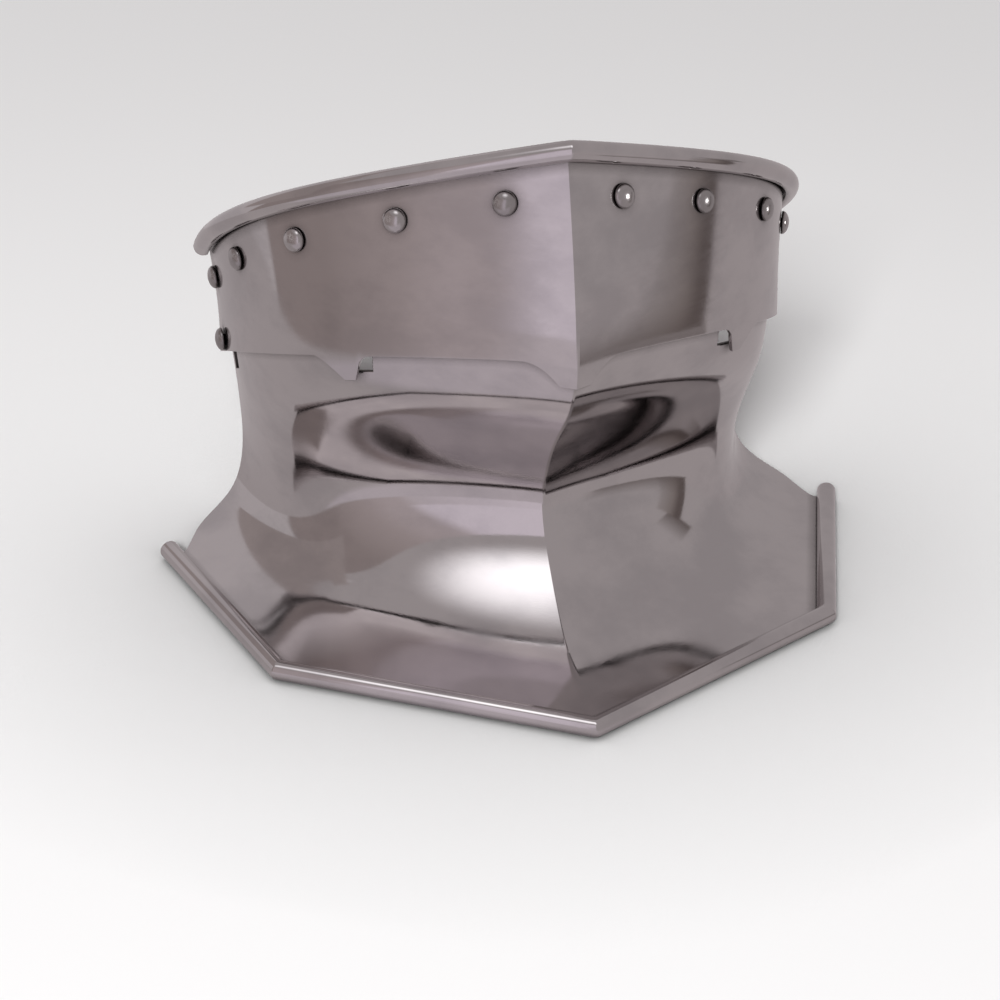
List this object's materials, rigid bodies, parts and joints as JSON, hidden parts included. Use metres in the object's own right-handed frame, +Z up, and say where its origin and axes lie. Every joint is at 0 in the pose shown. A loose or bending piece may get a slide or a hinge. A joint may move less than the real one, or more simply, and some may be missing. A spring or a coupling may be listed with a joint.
{
  "type": "steel gorget",
  "caption": "Polished steel gorget with a keeled chin plate, a rolled rim, a row of dome rivets and a flared, pointed lower plate",
  "frame": {"origin": "on the floor under the middle of the bounding box", "axes": "+X to the wearer's left, +Y to the back, +Z up; the wearer faces -Y"},
  "size_m": [0.2808, 0.1966, 0.198],
  "materials": {
    "plate_steel": "satin polished",
    "rivet_steel": "polished"
  },
  "bodies": {
    "root": {"chin_plate": "plate_steel", "throat_plate": "plate_steel", "rim_rivet_left_1": "rivet_steel", "rim_rivet_left_2": "rivet_steel", "rim_rivet_left_3": "rivet_steel", "rim_rivet_left_4": "rivet_steel", "rim_rivet_left_5": "rivet_steel", "side_rivet_left": "rivet_steel", "rim_rivet_right_1": "rivet_steel", "rim_rivet_right_2": "rivet_steel", "rim_rivet_right_3": "rivet_steel", "rim_rivet_right_4": "rivet_steel", "rim_rivet_right_5": "rivet_steel", "side_rivet_right": "rivet_steel"}
  },
  "joints": []
}
